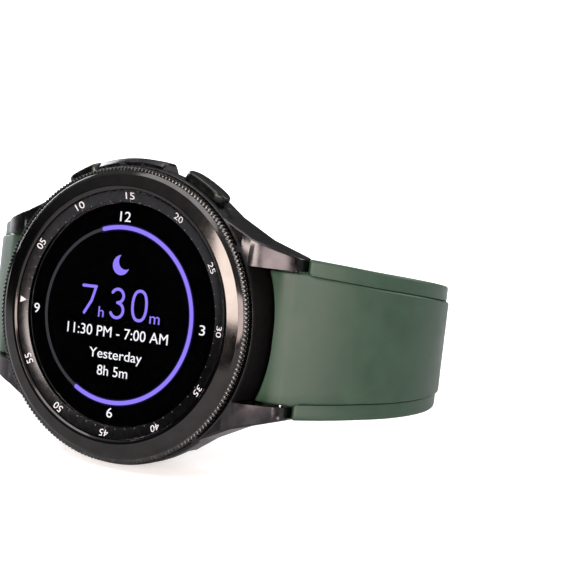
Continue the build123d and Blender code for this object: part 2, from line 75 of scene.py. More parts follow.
GRIP_TEETH = 216         # round the coin edge
TOOTH_DEPTH = 0.24
GRIP_R, GRIP_LOW, GRIP_HIGH = 22.4, -0.85, 0.12   # coin edge: over its teeth, bottom, top

NUMERAL_R = 18.0         # middle of the numerals
FUNNEL_LOW = 0.02        # underside of the numeral ring
FUNNEL_IN, FUNNEL_OUT = (17.05, 0.09), (18.68, 0.52)   # inner and outer edge of its slope

LINER_R, LINER_T = 22.83, 0.3   # near-black skin on the case between the lugs: painted shade for the gap behind each strap's hollow end
LINER_LOW, LINER_HIGH, LINER_HALF = -8.5, -1.4, 9.9
LEDGE_R, LEDGE_TOP = 23.85, -8.05   # its ledge, just inside the reach of the strap's hollow end; more painted shade, which closes the view through the gap

STRAP_T = 2.4            # thickness
STRAP_START = (25.4, -5.0)   # (x, z) where the outer surface leaves the shoulder
STRAP_HEADING = 33       # degrees below level that it leaves at
# Lengths along the outer surface, each with the degrees it bends by
SHOULDER_RUN = [(13, 18), (15, 36), (8, 26)]
LONG_RUN = SHOULDER_RUN + [(18.6, 0), (33, 67), (19.5, 0), (3.0, 8)]
SHORT_RUN = SHOULDER_RUN + [(10, 0), (17, 57)]
# Half widths, each with the z of the outer surface that it belongs to
LONG_WIDTHS = [(12.1, 0), (12.1, -5), (11.1, -14.5), (9.6, -35), (8.4, -69.9), (8.4, -80)]
SHORT_WIDTHS = [(12.1, 0), (12.1, -5), (11.1, -14.5), (9.6, -35), (9.6, -44), (8.2, -53), (8.2, -80)]
STRIP_W, STRIP_DROP = 2.5, 0.4   # side strip: width, and depth below the panel's surface
GROOVE_W = 0.12          # gap between the panel and each strip
TIP_RADIUS = 5.0         # corners of the long half's tip
STRIP_START_X = 27.9     # the side strips start just past the lugs
SHOULDER_END_R = 24.1    # hollow end of the strap, about the case's axis
LUG_GAP_Y = 9.75         # half width of the panel between the lugs
EDGE_SEGMENTS = 288      # round parts that the camera sees from close by
BAR_X, BAR_Z = 25.4, -7.2   # middle of the spring bar
HOLE_COUNT, HOLE_PITCH, HOLE_END = 9, 6.0, 18.0   # HOLE_END is the first hole's distance from the tip
HOLE_R, HOLE_LENGTH = 1.2, 2.9
SHOULDER_ARC = 4.7       # radius that eases the shoulder into the strap
SHOULDER_REACH = SHOULDER_ARC * math.tan(math.radians(STRAP_HEADING) / 2)
PANEL_ACROSS = 14        # spaces between points across the panel
NEAR, FAR = 0.1, 0.44    # a rounded corner's middle points, as shares of its radius
STRAP_SMOOTH = 38        # degrees at which an edge of the strap is shaded sharp

# ---- Camera: degrees and millimetres ----
CAMERA_AZIMUTH = 28.45       # to the right of straight ahead
CAMERA_ELEVATION = 13.98
CAMERA_ROLL = 0.93
CAMERA_DISTANCE = 200        # from the display's centre
CAMERA_LENS = 82.19
CAMERA_SHIFT_RIGHT, CAMERA_SHIFT_UP = 25.98, 3.67   # from the display's centre to the view's


# ---- Materials ----
def new_material(name):
    """A material with its node tree and its Principled shader."""
    mat = bpy.data.materials.new(name)
    mat.use_nodes = True
    tree = mat.node_tree
    return mat, tree, tree.nodes["Principled BSDF"]


def noise_node(tree, scale, detail=3.0, stretch=(1, 1, 1)):
    """Noise in object space; scale is in features per metre."""
    coords = tree.nodes.new("ShaderNodeTexCoord")
    mapping = tree.nodes.new("ShaderNodeMapping")
    mapping.inputs["Scale"].default_value = stretch
    noise = tree.nodes.new("ShaderNodeTexNoise")
    noise.inputs["Scale"].default_value = scale
    noise.inputs["Detail"].default_value = detail
    tree.links.new(coords.outputs["Object"], mapping.inputs["Vector"])
    tree.links.new(mapping.outputs["Vector"], noise.inputs["Vector"])
    return noise


def ramp_node(tree, source, low, high, start=0.35, end=0.65):
    """Blends between two colours, or two greys given as numbers."""
    ramp = tree.nodes.new("ShaderNodeValToRGB")
    ramp.color_ramp.elements[0].position = start
    ramp.color_ramp.elements[1].position = end
    for element, value in zip(ramp.color_ramp.elements, (low, high)):
        element.color = (value, value, value, 1) if isinstance(value, float) else (*value, 1)
    tree.links.new(source, ramp.inputs["Fac"])
    return ramp


def bump_node(tree, source, depth, strength=0.5):
    bump = tree.nodes.new("ShaderNodeBump")
    bump.inputs["Distance"].default_value = depth
    bump.inputs["Strength"].default_value = strength
    tree.links.new(source, bump.inputs["Height"])
    return bump


def surface(name, low, high, rough, metallic=0.0, scale=900, bump=0.0, bump_scale=None,
            stretch=(1, 1, 1), coat=0.0, specular=0.5):
    """A Principled material with a colour and roughness that vary and, if asked, a fine relief."""
    mat, tree, bsdf = new_material(name)
    noise = noise_node(tree, scale, stretch=stretch)
    colour = ramp_node(tree, noise.outputs["Fac"], low, high)
    tree.links.new(colour.outputs["Color"], bsdf.inputs["Base Color"])
    gloss = ramp_node(tree, noise.outputs["Fac"], float(rough[0]), float(rough[1]), 0.3, 0.7)
    tree.links.new(gloss.outputs["Color"], bsdf.inputs["Roughness"])
    bsdf.inputs["Metallic"].default_value = metallic
    bsdf.inputs["Coat Weight"].default_value = coat
    bsdf.inputs["Specular IOR Level"].default_value = specular
    if bump:
        relief = noise_node(tree, bump_scale or scale * 6, detail=4.0, stretch=stretch)
        node = bump_node(tree, relief.outputs["Fac"], bump)
        tree.links.new(node.outputs["Normal"], bsdf.inputs["Normal"])
    return mat


def glass_material(name, tint, rough=0.0, ior=1.45, specular=0.5):
    mat, _, bsdf = new_material(name)
    bsdf.inputs["Base Color"].default_value = (*tint, 1)
    bsdf.inputs["Roughness"].default_value = rough
    bsdf.inputs["Transmission Weight"].default_value = 1.0
    bsdf.inputs["IOR"].default_value = ior
    bsdf.inputs["Specular IOR Level"].default_value = specular
    return mat


def lit_material(name, colour, strength):
    """A lit part of the display."""
    mat, _, bsdf = new_material(name)
    bsdf.inputs["Base Color"].default_value = (0.0, 0.0, 0.0, 1)
    bsdf.inputs["Roughness"].default_value = 0.6
    bsdf.inputs["Specular IOR Level"].default_value = 0.0
    bsdf.inputs["Emission Color"].default_value = (*colour, 1)
    bsdf.inputs["Emission Strength"].default_value = strength
    return mat


BLACK_STEEL = surface("black_steel", (0.034, 0.032, 0.034), (0.046, 0.044, 0.046), (0.19, 0.27), 1.0, 700)
CROWN_STEEL = surface("crown_steel", (0.038, 0.036, 0.035), (0.046, 0.043, 0.043), (0.10, 0.15), 1.0, 500)
GRIP_STEEL = surface("grip_steel", (0.05, 0.05, 0.05), (0.075, 0.075, 0.075), (0.2, 0.3), 1.0, 900)
KEY_STEEL = surface("key_steel", (0.022, 0.024, 0.023), (0.032, 0.035, 0.033), (0.22, 0.3), 1.0, 900)
PIN_STEEL = surface("pin_steel", (0.42, 0.42, 0.43), (0.55, 0.55, 0.56), (0.2, 0.32), 1.0, 1500)
BUCKLE_STEEL = surface("buckle_steel", (0.09, 0.09, 0.095), (0.12, 0.12, 0.125), (0.16, 0.26), 1.0, 1200,
                       bump=0.00001, bump_scale=9000, stretch=(1, 1, 12))
FUNNEL_BLACK = surface("funnel_black", (0.026, 0.026, 0.028), (0.034, 0.034, 0.036), (0.20, 0.26), 1.0,
                       1500)
PAINT_WHITE = surface("paint_white", (0.40, 0.40, 0.42), (0.47, 0.47, 0.49), (0.45, 0.6), 0.0, 2000)
PAINT_GREY = surface("paint_grey", (0.07, 0.07, 0.075), (0.10, 0.10, 0.105), (0.45, 0.6), 0.0, 2000)
SCREEN_BLACK = surface("screen_black", (0.0003, 0.0003, 0.0005), (0.0006, 0.0006, 0.0008), (0.3, 0.4),
                       specular=0.0)
COVER_GLASS = glass_material("cover_glass", (0.98, 0.98, 0.99), 0.0, 1.05, 0.05)
SILICONE = surface("silicone", (0.015, 0.036, 0.021), (0.019, 0.044, 0.026), (0.38, 0.5), 0.0, 260,
                   bump=0.00002, bump_scale=7000, specular=0.35)
BACK_GLOSS = surface("back_gloss", (0.012, 0.012, 0.013), (0.018, 0.018, 0.02), (0.08, 0.16), 0.0, 600,
                     coat=0.4)
BACK_GLASS = glass_material("back_glass", (0.12, 0.12, 0.13), 0.02)
ELECTRODE = surface("electrode", (0.22, 0.22, 0.23), (0.3, 0.3, 0.31), (0.18, 0.28), 1.0, 2500)
RUBBER = surface("seal_rubber", (0.012, 0.012, 0.012), (0.02, 0.02, 0.02), (0.6, 0.75), 0.0, 1800)
MOULDED = surface("moulded_plastic", (0.025, 0.025, 0.027), (0.035, 0.035, 0.037), (0.45, 0.6), 0.0, 1200,
                  bump=0.000015, bump_scale=9000)
# Painted shade: near-black and almost unreflecting, standing in for the deep shadow in the gaps between the
# case and the straps' hollow ends
GAP_SHADE_BLACK = surface("gap_painted_shade", (0.003, 0.003, 0.003), (0.005, 0.005, 0.005), (0.6, 0.75), 0.0, 1200,
                      specular=0.04)
BOARD = surface("circuit_board", (0.012, 0.06, 0.035), (0.02, 0.08, 0.045), (0.3, 0.4), 0.0, 1500)
FOIL = surface("battery_foil", (0.42, 0.43, 0.45), (0.55, 0.56, 0.58), (0.25, 0.4), 0.8, 700, bump=0.00003)
COPPER = surface("copper", (0.62, 0.27, 0.12), (0.75, 0.35, 0.17), (0.25, 0.4), 1.0, 2500)
WHITE_SLIP = surface("white_slip", (0.7, 0.7, 0.68), (0.8, 0.8, 0.78), (0.4, 0.55), 0.0, 1500)
LED_LENS = surface("led_lens", (0.10, 0.42, 0.16), (0.16, 0.5, 0.2), (0.15, 0.25), 0.0, 2500)
DIODE = surface("diode", (0.02, 0.025, 0.05), (0.03, 0.035, 0.07), (0.1, 0.2), 0.0, 2500)
LAVENDER = lit_material("lit_lavender", (0.30, 0.22, 1.0), 1.0)
LAVENDER_GLOW = lit_material("lit_glow", (0.010, 0.008, 0.05), 1.0)
LIT_WHITE = lit_material("lit_white", (0.90, 0.91, 0.95), 1.1)
LIT_GREY = lit_material("lit_grey", (0.045, 0.045, 0.05), 1.0)


# ---- Mesh helpers ----
def add_object(name, data):
    obj = bpy.data.objects.new(name, data)
    bpy.context.scene.collection.objects.link(obj)
    return obj


def add_piece(name, verts, faces, material, body, matrix=WATCH, smooth=35):
    """A mesh given in the watch's millimetres, placed in the row frame and riding on a body."""
    mesh = bpy.data.meshes.new(name)
    mesh.from_pydata([matrix @ Vector(v) for v in verts], [], faces)
    mesh.validate()
    return finish_piece(name, mesh, material, body, smooth)


def turn_outward(mesh):
    """Takes out slivers and makes every face of a closed mesh look outwards."""
    cleaner = bmesh.new()
    cleaner.from_mesh(mesh)
    bmesh.ops.dissolve_degenerate(cleaner, edges=cleaner.edges, dist=1e-6)
    bmesh.ops.recalc_face_normals(cleaner, faces=cleaner.faces)
    if cleaner.calc_volume(signed=True) < 0:
        bmesh.ops.reverse_faces(cleaner, faces=cleaner.faces)
    cleaner.to_mesh(mesh)
    cleaner.free()


def shade_with_sharp_edges(mesh, angle):
    """Smooth shading, but sharp where faces meet at more than an angle in degrees."""
    turn_outward(mesh)
    mesh.shade_smooth()
    mesh.set_sharp_from_angle(angle=math.radians(angle))


def finish_piece(name, mesh, material, body, smooth=35):
    """A piece from a mesh that is already in the row frame."""
    shade_with_sharp_edges(mesh, smooth)
    obj = add_object(name, mesh)
    mesh.materials.append(material)
    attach(obj, body)
    return obj


def rounded_outline(points, steps=5):
    """A closed outline of (a, b, radius) corners with each corner turned into a small arc."""
    result = []
    count = len(points)
    for k in range(count):
        before = Vector(points[k - 1][:2])
        here = Vector(points[k][:2])
        after = Vector(points[(k + 1) % count][:2])
        radius = points[k][2] if len(points[k]) > 2 else 0
        if radius == 0:
            result.append(tuple(here))
            continue
        to_before = (before - here).normalized()
        to_after = (after - here).normalized()
        half = math.acos(max(-1, min(1, to_before.dot(to_after)))) / 2
        reach = min(radius / math.tan(half), 0.49 * (before - here).length, 0.49 * (after - here).length)
        first, last = here + to_before * reach, here + to_after * reach
        for step in range(steps + 1):
            t = step / steps
            result.append(tuple(first.lerp(here, t).lerp(here.lerp(last, t), t)))
    return result


def lathe(name, outline, material, body, segments=EDGE_SEGMENTS, smooth=30):
    """Turns a closed (radius, z) outline about the watch's axis."""
    verts, faces = [], []
    ring = len(outline)
    for k in range(segments):
        angle = 2 * math.pi * k / segments
        for radius, z in outline:
            verts.append((radius * math.cos(angle), radius * math.sin(angle), z))
    for k in range(segments):
        for i in range(ring):
            a, b = k * ring + i, k * ring + (i + 1) % ring
            c, d = ((k + 1) % segments) * ring + (i + 1) % ring, ((k + 1) % segments) * ring + i
            faces.append((a, b, c, d))
    return add_piece(name, verts, faces, material, body, smooth=smooth)


def skin(sections, closed_loop=False):
    """Joins sections of equal point count with quads, and caps both ends unless they meet."""
    count = len(sections[0])
    verts = [p for section in sections for p in section]
    faces = []
    total = len(sections)
    for k in range(total if closed_loop else total - 1):
        for i in range(count):
            j = (i + 1) % count
            a, b = k * count + i, k * count + j
            c, d = ((k + 1) % total) * count + j, ((k + 1) % total) * count + i
            faces.append((a, b, c, d))
    if not closed_loop:
        faces.append(tuple(range(count)))
        faces.append(tuple(range((total - 1) * count, total * count)))
    return verts, faces


def mirror_points(verts):
    return [(-x, y, z) for x, y, z in verts]


def joined_skins(groups, mirrored=False):
    """One set of vertices and faces from several, mirrored to the other side of the watch if asked."""
    verts, faces = [], []
    for more_verts, more_faces in groups:
        base = len(verts)
        verts += more_verts
        faces += [tuple(base + i for i in face) for face in more_faces]
    return (mirror_points(verts) if mirrored else verts), faces


# ---- Bezel ----
def build_crown():
    """Polished ring: inner lip, broad sloping crown and the rim above the coin edge."""
    outline = rounded_outline([
        (18.8, -1.05, 0.08), (18.8, 0.60, 0.12), (19.05, 0.86, 0.12), (19.45, 0.93, 0.3),
        (21.2, 0.50, 0.35), (21.6, 0.26, 0.2), (21.85, 0.08, 0.06), (21.85, -0.9, 0.06),
        (21.7, -1.08, 0.1), (19.0, -1.08)])
    crown = lathe("bezel_crown", outline, CROWN_STEEL, "bezel")
    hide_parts("bezel_ring")


def tooth_dip(share):
    """How far the coin edge dips, as a negative number, at a share of one pitch."""
    valley, flank = 0.18, 0.42   # as shares of half a pitch
    distance = abs(share - 0.5) * 2
    rise = min(1.0, max(0.0, (distance - valley) / flank))
    return -TOOTH_DEPTH * (1 - rise * rise * (3 - 2 * rise))


def build_coin_edge():
    """Ring of small teeth under the crown."""
    samples, inside, root = 8, 21.6, 21.7
    outline = [(inside, GRIP_LOW), (GRIP_R - 0.2, GRIP_LOW), (GRIP_R - 0.04, GRIP_LOW + 0.05),
               (GRIP_R, GRIP_LOW + 0.16), (GRIP_R, -0.2), (GRIP_R, GRIP_HIGH - 0.2),
               (GRIP_R - 0.05, GRIP_HIGH - 0.06), (GRIP_R - 0.2, GRIP_HIGH), (inside, GRIP_HIGH)]
    toothed = range(1, len(outline) - 1)
    sections = []
    total = GRIP_TEETH * samples
    for k in range(total):
        angle = 2 * math.pi * k / total
        dip = tooth_dip((k % samples) / samples)
        section = []
        for i, (radius, z) in enumerate(outline):
            r = max(radius + dip, root) if i in toothed else radius
            section.append((r * math.cos(angle), r * math.sin(angle), z))
        sections.append(section)
    verts, faces = skin(sections, closed_loop=True)
    edge = add_piece("bezel_coin_edge", verts, faces, GRIP_STEEL, "bezel", smooth=40)


def funnel_height(radius):
    """Z of the numeral ring's sloping face."""
    share = (radius - FUNNEL_IN[0]) / (FUNNEL_OUT[0] - FUNNEL_IN[0])
    return FUNNEL_IN[1] + share * (FUNNEL_OUT[1] - FUNNEL_IN[1])


def ring_point(radius, turn, lift):
    """A point over the numeral ring's sloping face, at an angle in radians."""
    return radius * math.cos(turn), radius * math.sin(turn), funnel_height(radius) + lift


def build_funnel():
    """Sloping ring that carries the numerals."""
    outline = rounded_outline([(FUNNEL_IN[0], FUNNEL_LOW, 0.02), (*FUNNEL_IN, 0.03), (*FUNNEL_OUT, 0.04),
                               (FUNNEL_OUT[0], FUNNEL_LOW, 0.02)], 3)
    funnel = lathe("bezel_numeral_ring", outline, FUNNEL_BLACK, "bezel")
    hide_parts("numeral_ring")


def text_mesh(words, thickness):
    """Mesh of some words in the font's own size, with a little thickness along Z."""
    curve = bpy.data.curves.new("words", "FONT")
    curve.body = words
    curve.align_x = "CENTER"
    curve.align_y = "CENTER"
    curve.extrude = thickness / 2
    curve.resolution_u = 6
    holder = add_object("words", curve)
    mesh = bpy.data.meshes.new_from_object(holder.evaluated_get(bpy.context.evaluated_depsgraph_get()))
    bpy.data.objects.remove(holder)
    cleaner = bmesh.new()
    cleaner.from_mesh(mesh)
    bmesh.ops.remove_doubles(cleaner, verts=cleaner.verts, dist=1e-5)
    cleaner.to_mesh(mesh)
    cleaner.free()
    return mesh


def fitted_words(words, width, height, thickness):
    """Text stretched to a width and height in millimetres, centred on zero."""
    mesh = text_mesh(words, thickness)
    xs = [v.co.x for v in mesh.vertices]
    ys = [v.co.y for v in mesh.vertices]
    middle = Vector(((min(xs) + max(xs)) / 2, (min(ys) + max(ys)) / 2, 0))
    scale_x = width / (max(xs) - min(xs))
    scale_y = height / (max(ys) - min(ys))
    for v in mesh.vertices:
        v.co = Vector(((v.co.x - middle.x) * scale_x, (v.co.y - middle.y) * scale_y, v.co.z))
    return mesh


def join_meshes(meshes):
    joined = bmesh.new()
    for mesh in meshes:
        joined.from_mesh(mesh)
    result = bpy.data.meshes.new("joined")
    joined.to_mesh(result)
    joined.free()
    return result


def build_bezel_numerals():
    """Minute numerals that follow the ring round, with their heads outwards."""
    width, height, thickness = 1.62, 1.02, 0.05
    meshes = []
    for step in range(1, 12):
        angle = math.radians(180 - 30 * step)
        mesh = fitted_words(f"{5 * step:02d}", width, height, thickness)
        for v in mesh.vertices:
            v.co = ring_point(NUMERAL_R + v.co.y, angle - v.co.x / NUMERAL_R, v.co.z)
        meshes.append(mesh)
    mesh = join_meshes(meshes)
    mesh.transform(WATCH)
    numerals = finish_piece("bezel_numerals", mesh, PAINT_WHITE, "bezel")


def radial_bars(spans, name, material):
    """Raised marks on the numeral ring: (degrees, inner radius, outer radius, inner width, outer width)."""
    verts, faces = [], []
    for angle, inner, outer, inner_width, outer_width in spans:
        middle = math.radians(angle)
        base = len(verts)
        for lift in (-0.02, 0.03):
            for radius, side in ((inner, -inner_width), (inner, inner_width), (outer, outer_width),
                                 (outer, -outer_width)):
                verts.append(ring_point(radius, middle + side / 2 / radius, lift))
        for quad in ((0, 1, 2, 3), (7, 6, 5, 4), (0, 4, 5, 1), (1, 5, 6, 2), (2, 6, 7, 3), (3, 7, 4, 0)):
            faces.append(tuple(base + i for i in quad))
    piece = add_piece(name, verts, faces, material, "bezel")


def build_bezel_marks():
    """A tick for each minute, longer at every fifth, and the triangle at twelve."""
    start, width = 17.12, 0.09
    ticks = [(6 * k, start, start + (0.3 if k % 5 == 0 else 0.2), width, width) for k in range(60)]
    radial_bars(ticks, "bezel_ticks", PAINT_GREY)
    radial_bars([(180, 17.5, 18.4, 0.08, 1.0)], "bezel_marker", PAINT_WHITE)


# ---- Case ----
def build_gap_shade_liners():
    """Near-black, almost unreflecting skin on the case between the lugs, with a low ledge under each
    strap's hollow end: painted shade for the gap behind each strap, which also closes the view through it.
    """
    inside = LINER_R - LINER_T
    outline = [(inside, LINER_LOW), (LEDGE_R, LINER_LOW), (LEDGE_R, LEDGE_TOP), (LINER_R, LEDGE_TOP),
               (LINER_R, LINER_HIGH), (inside, LINER_HIGH)]
    reach = math.asin(LINER_HALF / LINER_R)
    steps = 24
    groups = []
    for side in (0, math.pi):
        turns = [side - reach + 2 * reach * k / steps for k in range(steps + 1)]
        groups.append(skin([[(r * math.cos(t), r * math.sin(t), z) for r, z in outline] for t in turns]))
    verts, faces = joined_skins(groups)
    liners = add_piece("case_lug_shade_liners", verts, faces, GAP_SHADE_BLACK, "case")


# ---- Display ----
def flat_prism(outline, z, thickness=0.03):
    """Closed prism over a closed outline of (x, y) points."""
    count = len(outline)
    verts = [(x, y, z) for x, y in outline] + [(x, y, z + thickness) for x, y in outline]
    faces = [tuple(reversed(range(count))), tuple(range(count, 2 * count))]
    for i in range(count):
        j = (i + 1) % count
        faces.append((i, j, count + j, count + i))
    return verts, faces


def ellipse_points(reach, rise, start, end, steps, centre):
    """Points of an elliptic arc between two angles in degrees."""
    points = []
    for k in range(steps + 1):
        angle = math.radians(start + (end - start) * k / steps)
        points.append((centre[0] + reach * math.cos(angle), centre[1] + rise * math.sin(angle)))
    return points


def arc_points(radius, start, end, steps, centre=(0, 0)):
    return ellipse_points(radius, radius, start, end, steps, centre)


def ribbon(path, width):
    """Outline of a stroke of even width along an open path, with round ends."""
    left, right = [], []
    for k, point in enumerate(path):
        before = Vector(path[max(0, k - 1)])
        after = Vector(path[min(len(path) - 1, k + 1)])
        along = (after - before).normalized()
        across = Vector((-along.y, along.x)) * (width / 2)
        left.append(tuple(Vector(point) + across))
        right.append(tuple(Vector(point) - across))
    end_cap = cap_points(path[-2], path[-1], width)
    start_cap = cap_points(path[1], path[0], width)
    return left + end_cap + list(reversed(right)) + start_cap


def cap_points(before, end, width):
    """Round end of a stroke, which reaches its end from the point before."""
    along = math.degrees(math.atan2(end[1] - before[1], end[0] - before[0]))
    return arc_points(width / 2, along + 75, along - 75, 6, end)


def stroke_piece(name, strokes, material, z=SCREEN_Z + 0.02):
    """One piece from several stroke outlines."""
    verts, faces = joined_skins([flat_prism(outline, z) for outline in strokes])
    piece = add_piece(name, verts, faces, material, "case", GRAPHICS)


def build_screen():
    """Black layer under the glass; the lit graphics lie just above it."""
    segments, thickness = 128, 0.05
    rim = arc_points(SCREEN_R, 0, 360 - 360 / segments, segments - 1)
    verts, faces = flat_prism(rim, SCREEN_Z - thickness, thickness)
    screen = add_piece("screen_black_layer", verts, faces, SCREEN_BLACK, "case")


def build_ring():
    """Thin progress ring: the lit part runs clockwise from half past eleven to seven o'clock."""
    radius, lit_start, lit_end, gap = 13.32, 105.9, -118.6, 1.5
    lit_width, glow_width, rest_width = 0.64, 1.05, 0.5
    lit = ribbon(arc_points(radius, lit_start, lit_end, 140), lit_width)
    glow = ribbon(arc_points(radius, lit_start + 1, lit_end - 1, 140), glow_width)
    rest = ribbon(arc_points(radius, lit_end - gap, lit_start - 360 + gap, 90), rest_width)
    stroke_piece("ring_glow", [glow], LAVENDER_GLOW, SCREEN_Z + 0.005)
    stroke_piece("ring_rest", [rest], LIT_GREY, SCREEN_Z + 0.02)
    stroke_piece("ring_lit", [lit], LAVENDER, SCREEN_Z + 0.045)


def build_moon():
    """Crescent: a round moon with a rounder bite out of its upper right."""
    centre, outer, bite_centre, bite = (0.03, 7.60), 1.52, (0.83, 8.22), 1.26
    gap = math.dist(centre, bite_centre)
    lean = math.degrees(math.atan2(bite_centre[1] - centre[1], bite_centre[0] - centre[0]))
    along = (gap * gap + outer * outer - bite * bite) / (2 * gap)
    half_outer = math.degrees(math.acos(along / outer))
    half_bite = math.degrees(math.acos((gap - along) / bite))
    moon = arc_points(outer, lean + half_outer, lean + 360 - half_outer, 48, centre)
    moon += arc_points(bite, lean + 180 + half_bite, lean + 180 - half_bite, 32, bite_centre)[1:-1]
    stroke_piece("moon", [moon], LAVENDER)


def digit_strokes(kind, centre, width, height, weight):
    """Thin strokes of a large 7, 0 or 3 in a box."""
    x0, x1 = centre[0] - width / 2 + weight / 2, centre[0] + width / 2 - weight / 2
    y0, y1 = centre[1] - height / 2 + weight / 2, centre[1] + height / 2 - weight / 2
    mid_x, span_x, span_y = (x0 + x1) / 2, (x1 - x0) / 2, (y1 - y0) / 2
    if kind == "7":
        bar = [(x0, y1), (x1 + 0.02, y1)]
        leg = [(x1, y1 - 0.02), (x1 - 0.55 * span_x, y0 + span_y * 0.95), (x0 + 0.42 * span_x, y0)]
        return [ribbon(bar, weight), ribbon(leg, weight)]
    if kind == "0":
        steps, square_x, square_y = 48, 0.82, 0.9
        loop = []
        for k in range(steps + 1):
            angle = 2 * math.pi * k / steps
            c, s = math.cos(angle), math.sin(angle)
            loop.append((mid_x + span_x * math.copysign(abs(c) ** square_x, c),
                         y0 + span_y + span_y * math.copysign(abs(s) ** square_y, s)))
        left = ribbon(loop[11:38], weight)
        right = ribbon(loop[36:48] + loop[0:13], weight)
        return [left, right]
    top_rise, low_rise = span_y * 0.47, span_y * 0.53
    upper = ellipse_points(span_x * 0.92, top_rise, 152, -88, 24, (mid_x, y1 - top_rise))
    lower = ellipse_points(span_x, low_rise, 88, -155, 24, (mid_x, y0 + low_rise))
    return [ribbon(upper, weight), ribbon(lower, weight)]


def build_digits():
    """The large hours and minutes in the middle of the display."""
    weight = 0.46
    for kind, centre, width, height in (("7", (-5.40, 1.86), 2.85, 4.6), ("3", (-0.10, 1.76), 2.8, 4.8),
                                        ("0", (3.98, 1.80), 2.95, 4.9)):
        stroke_piece(f"digit_{kind}", digit_strokes(kind, centre, width, height, weight), LAVENDER)


def screen_words(name, words, centre, width, height, material):
    """Words on the display, stretched to a size in millimetres."""
    mesh = fitted_words(words, width, height, 0.03)
    mesh.transform(Matrix.Translation((centre[0], centre[1], SCREEN_Z + 0.035)))
    mesh.transform(GRAPHICS)
    piece = finish_piece(name, mesh, material, "case")


def build_words():
    """Generic sleep times: words and numbers only."""
    screen_words("word_h", "h", (-2.93, 0.20), 1.0, 1.6, LAVENDER)
    screen_words("word_m", "m", (6.88, -0.06), 1.8, 1.15, LAVENDER)
    screen_words("word_span", "11:30 PM - 7:00 AM", (0.27, -2.70), 18.5, 1.62, LIT_WHITE)
    screen_words("word_day", "Yesterday", (0.36, -6.29), 9.7, 1.95, LIT_WHITE)
    screen_words("word_total", "8h 5m", (0.05, -8.62), 5.6, 1.55, LIT_WHITE)
    for words, x, y, width in (("12", 0.07, 14.95, 1.95), ("3", 15.3, -0.6, 0.98), ("6", 0.2, -14.88, 1.05),
                               ("9", -15.2, -0.48, 1.05)):
        screen_words(f"hour_{words}", words, (x, y), width, 1.5, LIT_WHITE)


# ---- Strap ----
def walk(run, distance):
    """Point (x, z) and heading in radians at a distance along the strap's outer surface."""
    x, z = STRAP_START
    heading = math.radians(STRAP_HEADING)
    for length, turn in run:
        step = min(length, distance)
        angle = math.radians(turn) * step / length
        chord = step if turn == 0 else 2 * length / math.radians(turn) * math.sin(angle / 2)
        x += chord * math.cos(heading + angle / 2)
        z -= chord * math.sin(heading + angle / 2)
        heading += angle
        distance -= step
        if distance <= 0:
            break
    return x, z, heading


def run_length(run):
    return sum(length for length, _ in run)


def half_width(widths, z):
    """Half width of the strap where its outer surface is at z."""
    for (w0, z0), (w1, z1) in zip(widths, widths[1:]):
        if z >= z1:
            return w0 + (w1 - w0) * (z0 - z) / (z0 - z1)
    return widths[-1][0]


def smooth_step(value):
    t = max(0.0, min(1.0, value))
    return t * t * (3 - 2 * t)


def panel_thickness(distance):
    """Thick round the spring bar, then down to the strap's own thickness."""
    swell, fade_start, fade_length = 1.7, 0.6, 5.5
    return STRAP_T + swell * (1 - smooth_step((distance - fade_start) / fade_length))


def panel_station(run, distance):
    """(x, z, heading, thickness) of a panel section; negative distances lie towards the case."""
    thickness = panel_thickness(distance)
    if distance >= SHOULDER_REACH:
        return (*walk(run, distance), thickness)
    share = (distance + SHOULDER_REACH) / (2 * SHOULDER_REACH)
    heading = math.radians(STRAP_HEADING) * share
    x = STRAP_START[0] - SHOULDER_REACH + SHOULDER_ARC * math.sin(heading)
    z = STRAP_START[1] - SHOULDER_ARC * (1 - math.cos(heading))
    return x, z, heading, thickness


def panel_section(half, thickness, edge=0.32):
    """Closed cross-section (y, depth) with softly rounded corners and rows of points across."""
    edge = min(edge, thickness / 3, half / 3)
    near, far = NEAR * edge, FAR * edge
    top = [(-half + edge + (2 * half - 2 * edge) * k / PANEL_ACROSS, 0.0) for k in range(PANEL_ACROSS + 1)]
    corner = [(half - far, near), (half - near, far), (half, edge)]
    side = [(half, thickness / 2), (half, thickness - edge)]
    low_corner = [(half - near, thickness - far), (half - far, thickness - near)]
    bottom = [(-y, thickness) for y, _ in top]
    mirror_low = [(-y, d) for y, d in reversed(low_corner)]
    mirror_side = [(-y, d) for y, d in reversed(side)]
    mirror_corner = [(-y, d) for y, d in reversed(corner)]
    return top + corner + side + low_corner + bottom + mirror_low + mirror_side + mirror_corner


def groove_y(full):
    """Half width of the centre panel where the whole strap has a half width."""
    return min(full - STRIP_W, LUG_GAP_Y)


def end_round(distance_to_end, radius):
    """How much a rounded end takes off each surface near the end of a piece."""
    if distance_to_end >= radius:
        return 0.0
    return radius - math.sqrt(max(0.0, radius ** 2 - (radius - distance_to_end) ** 2))


def panel_half(widths, z, past_lugs, to_end, tip_radius):
    """Half width of the centre panel, less what a rounded tip takes off."""
    full = half_width(widths, z)
    half = groove_y(full) if past_lugs else LUG_GAP_Y
    return min(half, full - end_round(to_end, tip_radius))


def hollow_end_sections():
    """Sections from the hollow end that hugs the case to where the shoulder starts to bend."""
    sections = []
    x1, z, _, full_thickness = panel_station(LONG_RUN, -SHOULDER_REACH)
    steps, thinning, length, end_radius = 10, 1.1, 2.2, 0.45
    for k in range(steps):
        share = (k / steps) ** 1.6
        rounding = end_round(share * length, end_radius)
        thickness = full_thickness - thinning * (1 - share)
        section = []
        for y, depth in panel_section(LUG_GAP_Y, 1.0):
            x_end = math.sqrt(SHOULDER_END_R ** 2 - y * y)
            x = x_end + share * (x1 - x_end)
            section.append((x, y, z - rounding - depth * (thickness - 2 * rounding)))
        sections.append(section)
    return sections


